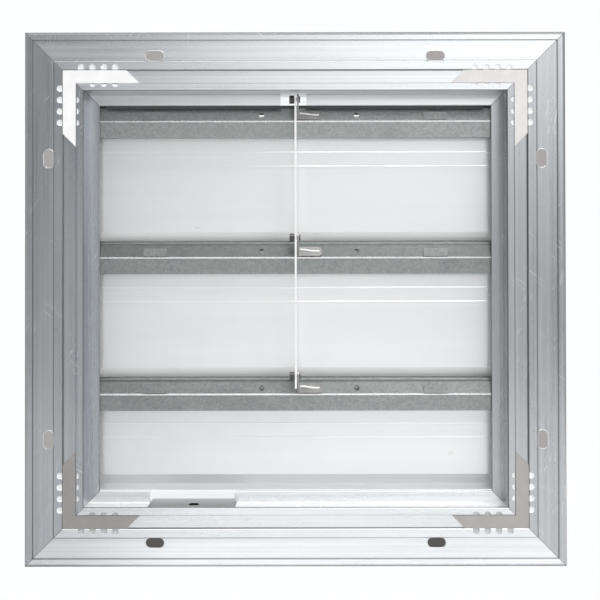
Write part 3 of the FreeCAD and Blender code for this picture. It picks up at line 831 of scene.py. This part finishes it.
@dataclass
class MitredFrame:
    """The four rails, their corner keys, seals and bushings."""

    half_slot_spacing: float = 101.0 * MM
    slot_line: float = 174.8 * MM
    slot_length: float = 13.6 * MM
    slot_width: float = 7.6 * MM
    slot_face: float = 0.8 * MM
    rim: float = 0.28 * MM
    end_share: float = 0.499
    turns: dict[str, float] = field(default_factory=lambda: {
        "top": 0.0, "right": 90.0, "bottom": 180.0, "left": 270.0,
    })

    def dress(self) -> None:
        """Give the frame's CAD nodes their finishes."""
        # Painted light and shade: each rail gets its own level and tint, the side rails darker and cooler,
        # as each catches the light differently. On their walls the top and left rails get painted shade,
        # and the bottom rail gets painted shade in one span, painted light elsewhere, darker stakes and an
        # almost black drain hole.
        rails = {
            "top": DrawnAluminium("drawn_aluminium_top", level=0.9, wall_shade=0.45),
            "bottom": DrawnAluminium(
                "drawn_aluminium_bottom", level=0.92, wall_light=0.9, wall_shade=0.86,
                wall_shade_span=(-106.5 * MM, -44.0 * MM), stake_level=0.6, drain_radius=3.9 * MM,
            ),
            "left": DrawnAluminium(
                "drawn_aluminium_left", run=Run.ALONG_Z, level=0.6, warm=-0.03, wall_shade=0.12,
            ),
            "right": DrawnAluminium(
                "drawn_aluminium_right", run=Run.ALONG_Z, level=0.57, warm=-0.016, wall_shade=0.0,
            ),
        }
        for side, metal in rails.items():
            dress([f"{side}_rail"], metal)
        # Painted light and shade: the same key metal gets its own level and shine at each corner, brightest
        # at the top left and darkest at the bottom left, as each key catches the light differently.
        keys = {
            "top_left": KeyStock("key_stock_top_left", level=0.98, warm=0.004, metallic=0.0),
            "top_right": KeyStock("key_stock_top_right", level=0.76, warm=0.02, metallic=0.1),
            "bottom_left": KeyStock("key_stock_bottom_left", level=0.35),
            "bottom_right": KeyStock("key_stock_bottom_right", level=0.42),
        }
        for corner, stock in keys.items():
            dress([f"key_{corner}"], stock)
        dress(["top_seal_left", "top_seal_right"], SoftSeal("foam_seal"))
        bushings = [f"bushing_{blade}_{side}" for blade in BLADES for side in ("left", "right")]
        dress(bushings, MouldedPlastic("nylon_bushing"))

    def add_slot_rims(self) -> None:
        """A fine turned edge round each fixing slot."""
        sizes = {"Length": self.slot_length, "Width": self.slot_width, "Rim": self.rim}
        repeater = Repeater("slot_rim", sizes)
        graph = repeater.graph
        outline = graph.add("GeometryNodeCurvePrimitiveQuadrilateral", {"mode": "RECTANGLE"}, {
            "Width": repeater.size("Length"), "Height": repeater.size("Width"),
        })
        half = graph.add("ShaderNodeMath", {"operation": "MULTIPLY"}, {
            0: repeater.size("Width"), 1: self.end_share,
        })
        rounded = graph.add("GeometryNodeFilletCurve", {"mode": "POLY"}, {
            "Curve": outline.outputs[0], "Count": 8, "Radius": half.outputs[0], "Limit Radius": True,
        })
        ring = graph.add("GeometryNodeCurvePrimitiveCircle", {}, {
            "Resolution": 8, "Radius": repeater.size("Rim"),
        })
        tube = graph.add("GeometryNodeCurveToMesh", {}, {
            "Curve": rounded.outputs[0], "Profile Curve": ring.outputs[0],
        })
        upright = graph.add("GeometryNodeTransform", {}, {
            "Geometry": tube.outputs[0], "Rotation": (math.pi / 2, 0.0, 0.0),
        })
        rim_metal = PlainMetal("cut_edge", grey(0.95), grey(0.75), roughness=0.22)
        repeater.close(upright.outputs[0], rim_metal.material())
        points, turns = [], []
        for side in self.turns:
            for x, z, turn in self.slot_places(side):
                points.append((x, self.slot_face, z))
                turns.append(turn)
        attach(repeater.build("slot_rims", points, turns), "frame")

    def slot_places(self, side: str) -> list[Point]:
        """The two fixing slots of one rail.

        Args:
            side: the rail's side.

        Returns:
            Each slot's X, Z and angle about the depth.
        """
        turn = math.radians(self.turns[side])
        line = self.slot_line + SIDE_SHIFT * abs(math.sin(turn))
        places = []
        for shift in (-self.half_slot_spacing, self.half_slot_spacing):
            x = shift * math.cos(turn) + line * math.sin(turn)
            z = line * math.cos(turn) - shift * math.sin(turn)
            places.append((x, z, turn))
        return places

    def build(self) -> None:
        """Dress the frame and add its small details."""
        self.dress()
        self.add_slot_rims()


@dataclass(frozen=True)
class BladeTone:
    """How one blade's finishes differ from its neighbours'.

    The step is the sloped part of the sheet's joggled lower lip, and its low end is a height.
    """

    step_low: float
    sheet: float = 0.95
    zinc: float = 0.36
    leaf_shade: float = 0.0
    step_level: float = 0.97
    step_metallic: float = 0.1


@dataclass
class BladeSet:
    """Three hinged blades with their stiffeners, rods, rivets, brackets and pins."""

    top_pivot: float = 139.5 * MM
    pitch: float = 100.8 * MM
    pivot_depth: float = 26.9 * MM
    bend_drop: float = 9.1 * MM
    rivet_drop: float = 15.5 * MM
    rivet_spacing: float = 70.0 * MM
    rivet_back: float = 30.5 * MM
    rib_drops: tuple[float, float] = (31.22 * MM, 41.62 * MM)
    step_rise: float = 7.4 * MM
    # Painted light and shade: the blades' sheet and zinc levels differ as the light falls differently on
    # each, the middle strip's upper leaf gets painted shade, and the lower blade's sloped step is kept
    # darker and more metallic.
    tones: dict[str, BladeTone] = field(default_factory=lambda: {
        "upper": BladeTone(41.5 * MM, sheet=0.94, zinc=0.43),
        "middle": BladeTone(-59.3 * MM, zinc=0.35, leaf_shade=0.45),
        "lower": BladeTone(-138.6 * MM, step_level=0.82, step_metallic=0.7),
    })
    fold_place: Point = (10.2 * MM, 20.8 * MM, -3.6 * MM)
    fold_radius: float = 0.7 * MM
    fold_start: Point = (-7.0 * MM, 0.0, 0.5 * MM)
    fold_end: Point = (7.4 * MM, 0.0, -0.6 * MM)
    fold_handles: tuple[Point, Point] = ((-2.0 * MM, 0.0, 0.7 * MM), (1.0 * MM, 0.0, -1.0 * MM))
    stub_radius: float = 1.1 * MM
    stub_top: float = 0.85 * MM
    stub_height: float = 0.7 * MM
    tip_radius: float = 0.45 * MM
    tip_rise: float = 0.6 * MM
    tongue_reach: float = 103.4 * MM
    tongue_width: float = 17.5 * MM
    tongue_height: float = 6.0 * MM
    tongue_sheet: float = 0.9 * MM
    tongue_drop: float = 5.2 * MM
    tongue_forward: float = 5.45 * MM
    tongue_lean: float = 7.5
    no_bend: float = 1.0

    def pivot(self, blade: str) -> float:
        """The height of one blade's pivot."""
        return self.top_pivot - BLADES.index(blade) * self.pitch

    def dress(self) -> None:
        """Give the blades' CAD nodes their finishes."""
        rod = PlainMetal("drawn_rod", grey(0.5), grey(0.3), roughness=0.35)
        rivet = PlainMetal("rivet_metal", grey(0.74), grey(0.5), roughness=0.34)
        bracket = PlainMetal("plated_bracket", grey(0.46, 0.02), grey(0.3, 0.02), roughness=0.34)
        pin = PlainMetal("blackened_pin", grey(0.13), grey(0.05), roughness=0.18)
        for blade in BLADES:
            crests = tuple(self.pivot(blade) - drop for drop in self.rib_drops)
            tone = self.tones[blade]
            sheet = RolledSheet(
                f"rolled_sheet_{blade}", tone.sheet, crests=crests,
                step=(tone.step_low, tone.step_low + self.step_rise),
                step_level=tone.step_level, step_metallic=tone.step_metallic,
            )
            dress([f"blade_{blade}"], sheet)
            zinc = SpangledZinc(
                f"spangled_zinc_{blade}", tone.zinc, bend=self.pivot(blade) - self.bend_drop,
                leaf_shade=tone.leaf_shade,
            )
            dress([f"strip_{blade}"], zinc)
            dress([f"rod_{blade}"], rod)
            dress([f"strip_rivets_{blade}"], rivet)
            dress([f"bracket_{blade}"], bracket)
            dress([f"link_pin_{blade}"], pin)

    def add_tongues(self) -> None:
        """Two tongues pressed out of each strip's upper leaf, leaning off it at the top."""
        sizes = {"Width": self.tongue_width, "Height": self.tongue_height, "Sheet": self.tongue_sheet}
        repeater = Repeater("pressed_tongue", sizes)
        graph = repeater.graph
        outline = graph.add("GeometryNodeCurvePrimitiveQuadrilateral", {"mode": "RECTANGLE"}, {
            "Width": repeater.size("Width"), "Height": repeater.size("Height"),
        })
        rounded = graph.add("GeometryNodeFilletCurve", {"mode": "POLY"}, {
            "Curve": outline.outputs[0], "Count": 4, "Radius": repeater.size("Sheet"),
            "Limit Radius": True,
        })
        face = graph.add("GeometryNodeFillCurve", {}, {"Curve": rounded.outputs[0]})
        plate = graph.add("GeometryNodeExtrudeMesh", {"mode": "FACES"}, {
            "Mesh": face.outputs[0], "Offset Scale": repeater.size("Sheet"), "Individual": False,
        })
        leaning = graph.add("GeometryNodeTransform", {}, {
            "Geometry": plate.outputs[0], "Rotation": (math.radians(90.0 - self.tongue_lean), 0.0, 0.0),
        })
        zinc = SpangledZinc("spangled_zinc_tongue", bend=self.no_bend)
        repeater.close(leaning.outputs[0], zinc.material(), smooth=False)
        for blade in BLADES:
            height = self.pivot(blade) - self.tongue_drop
            depth = self.pivot_depth - self.tongue_forward
            points = [(side * self.tongue_reach, depth, height) for side in (-1, 1)]
            piece = repeater.build(f"tongues_{blade}", points, [0.0] * len(points))
            attach(piece, f"{blade}_blade")

    def add_foot_folds(self) -> None:
        """The rounded fold that runs along each bracket's foot."""
        repeater = Repeater("foot_fold", {"Radius": self.fold_radius})
        graph = repeater.graph
        first, second = self.fold_handles
        line = graph.add("GeometryNodeCurvePrimitiveBezierSegment", {"mode": "POSITION"}, {
            "Resolution": 16, "Start": self.fold_start, "Start Handle": first,
            "End Handle": second, "End": self.fold_end,
        })
        ring = graph.add("GeometryNodeCurvePrimitiveCircle", {}, {
            "Resolution": 10, "Radius": repeater.size("Radius"),
        })
        tube = graph.add("GeometryNodeCurveToMesh", {}, {
            "Curve": line.outputs[0], "Profile Curve": ring.outputs[0], "Fill Caps": True,
        })
        # The fold is near white: a painted highlight along the bracket's foot.
        fold = PlainMetal("fold_highlight", grey(0.97), grey(0.9), 0.3, 0.3)
        repeater.close(tube.outputs[0], fold.material())
        x, y, rise = self.fold_place
        for blade in BLADES:
            piece = repeater.build(f"foot_fold_{blade}", [(x, y, self.pivot(blade) + rise)], [0.0])
            attach(piece, f"{blade}_blade")

    def add_rivet_stubs(self) -> None:
        """The broken mandrel that shows in the middle of each blind rivet's head."""
        repeater = Repeater("rivet_stub", {"Radius": self.stub_radius, "Height": self.stub_height})
        graph = repeater.graph
        collar = graph.add("GeometryNodeMeshCone", {}, {
            "Vertices": 16, "Radius Top": self.stub_top, "Radius Bottom": repeater.size("Radius"),
            "Depth": repeater.size("Height"),
        })
        dimple = graph.add("GeometryNodeMeshUVSphere", {}, {
            "Segments": 12, "Rings": 8, "Radius": self.tip_radius,
        })
        tip = graph.add("GeometryNodeTransform", {}, {
            "Geometry": dimple.outputs[0], "Translation": (0.0, 0.0, self.tip_rise),
        })
        both = graph.add("GeometryNodeJoinGeometry", {}, {})
        for part in (collar, tip):
            graph.tree.links.new(part.outputs[0], both.inputs[0])
        backwards = graph.add("GeometryNodeTransform", {}, {
            "Geometry": both.outputs[0], "Rotation": (-math.pi / 2, 0.0, 0.0),
        })
        stub = PlainMetal("mandrel_steel", grey(0.42), grey(0.2), roughness=0.38)
        repeater.close(backwards.outputs[0], stub.material())
        for blade in BLADES:
            height = self.pivot(blade) - self.rivet_drop
            points = [(place * self.rivet_spacing, self.rivet_back, height) for place in range(-2, 3)]
            piece = repeater.build(f"rivet_stubs_{blade}", points, [0.0] * len(points))
            attach(piece, f"{blade}_blade")

    def build(self) -> None:
        """Dress the blades and add their pressed and riveted details."""
        self.dress()
        self.add_tongues()
        self.add_foot_folds()
        self.add_rivet_stubs()


@dataclass
class Linkage:
    """The tie bar that makes the blades turn together."""

    def build(self) -> None:
        """Dress the bar."""
        dress(["tie_bar"], PlainMetal("bright_bar", grey(0.97), grey(0.9), 0.3, 0.3, Run.ALONG_Z))


@dataclass
class Surround:
    """The white room's light: a panel ahead, a header above it, two sides, the zenith and the back.

    Places ahead are slopes across and up, seen from the part. Places elsewhere are parts of a direction.
    """

    tint: Colour = (0.985, 0.99, 1.0, 1.0)
    least_ahead: float = 0.05
    dim: float = 0.09
    panel: float = 0.93
    panel_left: Span = (-0.215, -0.115)
    panel_right: Span = (0.25, 0.12)
    panel_top: Span = (0.19, 0.13)
    left_slope: float = 1.7
    right_slope: float = 1.2
    upper_slope: float = 0.6
    upper_from: Span = (-0.03, 0.06)
    header: float = 1.55
    header_foot: Span = (0.06, 0.18)
    header_top: Span = (0.6, 0.36)
    header_across: Span = (-0.23, 0.17)
    side_across: Span = (0.45, 0.75)
    side_up: Span = (1.2, 0.6)
    front_ahead: Span = (0.0, 0.3)
    zenith: float = 3.2
    zenith_up: Span = (0.74, 0.94)
    zenith_ahead: Span = (-0.05, 0.15)
    back: float = 0.5
    back_behind: Span = (0.1, 0.5)
    low_back: float = 0.55
    low_back_up: Span = (0.5, 0.3)

    def build(self) -> None:
        """Make the room and give it to the scene. The camera itself sees plain white."""
        world = bpy.data.worlds.new("studio")
        world.use_nodes = True
        graph = Graph(world.node_tree)
        x, y, z = graph.split(graph.add("ShaderNodeTexCoord", {}, {}).outputs["Generated"])
        ahead = 0.0 - y
        depth = ahead.high(self.least_ahead)
        u, v = x / depth, z / depth
        right = u.high(0.0)
        fall = self.right_slope + v.rise(*self.upper_from) * self.upper_slope
        slope = (right - u) * self.left_slope - right * fall
        panel = u.rise(*self.panel_left) * u.rise(*self.panel_right) * v.rise(*self.panel_top)
        panel = panel * (self.panel + slope)
        header = v.rise(*self.header_foot) * v.rise(*self.header_top) * u.rise(*self.header_across)
        sides = abs(u).rise(*self.side_across) * v.rise(*self.side_up)
        front = (panel.high(header * self.header) + sides) * ahead.rise(*self.front_ahead)
        zenith = z.rise(*self.zenith_up) * ahead.rise(*self.zenith_ahead) * self.zenith
        back = y.rise(*self.back_behind) * (self.back + z.rise(*self.low_back_up) * self.low_back)
        seen = Field(graph, graph.add("ShaderNodeLightPath", {}, {}).outputs["Is Camera Ray"])
        strength = seen + (1 - seen) * (self.dim + front + zenith + back)
        shade = graph.add("ShaderNodeBackground", {}, {"Color": self.tint, "Strength": strength})
        graph.add("ShaderNodeOutputWorld", {}, {"Surface": shade.outputs[0]})
        bpy.context.scene.world = world


@dataclass
class Studio:
    """The floor, the cards behind the holes, the light and the camera."""

    floor_height: float = -192.3 * MM
    floor_half: float = 0.9
    card_depth: float = 6.0 * MM
    card_half: Span = (8.2 * MM, 5.0 * MM)
    drain_card_height: float = -155.0 * MM
    drain_card_half: float = 6.0 * MM
    lamp_place: Point = (0.5, -1.3, 2.0)
    lamp_size: float = 1.6
    lamp_power: float = 24.0
    camera_place: Point = (2.9 * MM, -747.9 * MM, 23.8 * MM)
    camera_pitch: float = 90.5
    camera_roll: float = 0.09
    lens: float = 62.5
    sensor: float = 36.0
    shift: Span = (0.001, -0.0724)

    @staticmethod
    def add_card(name: str, corners: Sequence[Point], finish: Finish, seen: bool = True) -> None:
        """Stage one flat card.

        Args:
            name: the card's name.
            corners: its four corners in order.
            finish: the finish that it gets.
            seen: whether the camera sees it.
        """
        mesh = bpy.data.meshes.new(name)
        mesh.from_pydata(list(corners), [], [(0, 1, 2, 3)])
        mesh.materials.append(finish.material())
        card = bpy.data.objects.new(name, mesh)
        bpy.context.scene.collection.objects.link(card)
        card.visible_camera = seen

    def add_floor(self) -> None:
        """A plain pale floor under the part, which only lights it."""
        half, height = self.floor_half, self.floor_height
        corners = [(i * half, j * half, height) for i, j in CORNERS]
        self.add_card("floor", corners, StudioPaper("studio_paper"), seen=False)

    def add_slot_cards(self) -> None:
        """A small card behind each fixing slot: dim at the sides and top, dark near the floor."""
        fittings = MitredFrame()
        lit, dark = RoomCard("dim_room"), RoomCard("dark_room", grey(0.105, 0.02))
        wide, high = self.card_half
        for side in fittings.turns:
            # The bottom cards glow darker: painted shade near the floor.
            finish = dark if side == "bottom" else lit
            across, up = (wide, high) if side in ("top", "bottom") else (high, wide)
            for number, (x, z, _) in enumerate(fittings.slot_places(side), start=1):
                corners = [(x + i * across, self.card_depth, z + j * up) for i, j in CORNERS]
                self.add_card(f"slot_card_{side}_{number}", corners, finish)

    def add_drain_card(self) -> None:
        """A dark card under the drain hole, as the hole looks down into an unlit gap."""
        half, height = self.drain_card_half, self.drain_card_height
        corners = [(DRAIN_X + i * half, DRAIN_Y + j * half, height) for i, j in CORNERS]
        self.add_card("drain_card", corners, RoomCard("unlit_gap", grey(0.004)))

    def add_lamp(self) -> None:
        """One large soft lamp above, aimed at the part."""
        data = bpy.data.lights.new("top_lamp", "AREA")
        data.shape = "SQUARE"
        data.size = self.lamp_size
        data.energy = self.lamp_power
        lamp = bpy.data.objects.new("top_lamp", data)
        lamp.location = self.lamp_place
        lamp.rotation_euler = (-Vector(self.lamp_place)).to_track_quat("-Z", "Y").to_euler()
        lamp.visible_camera = False
        bpy.context.scene.collection.objects.link(lamp)

    def add_camera(self) -> None:
        """The camera, nearly square on to the flange."""
        data = bpy.data.cameras.new("camera")
        data.lens = self.lens
        data.sensor_width = self.sensor
        data.shift_x, data.shift_y = self.shift
        camera = bpy.data.objects.new("camera", data)
        camera.location = self.camera_place
        camera.rotation_euler = (math.radians(self.camera_pitch), math.radians(self.camera_roll), 0.0)
        bpy.context.scene.collection.objects.link(camera)
        bpy.context.scene.camera = camera

    def build(self) -> None:
        """Set up the whole studio."""
        scene = bpy.context.scene
        scene.view_settings.view_transform = "Standard"
        scene.view_settings.look = "None"
        self.add_floor()
        self.add_slot_cards()
        self.add_drain_card()
        Surround().build()
        self.add_lamp()
        self.add_camera()


def main() -> None:
    """Build the studio and dress every sub-assembly in order."""
    logging.basicConfig(level=logging.INFO, format="%(name)s: %(message)s")
    for part in (MitredFrame(), BladeSet(), Linkage(), Studio()):
        part.build()
        LOG.info("%s done", type(part).__name__)


if __name__ == "__main__":
    main()
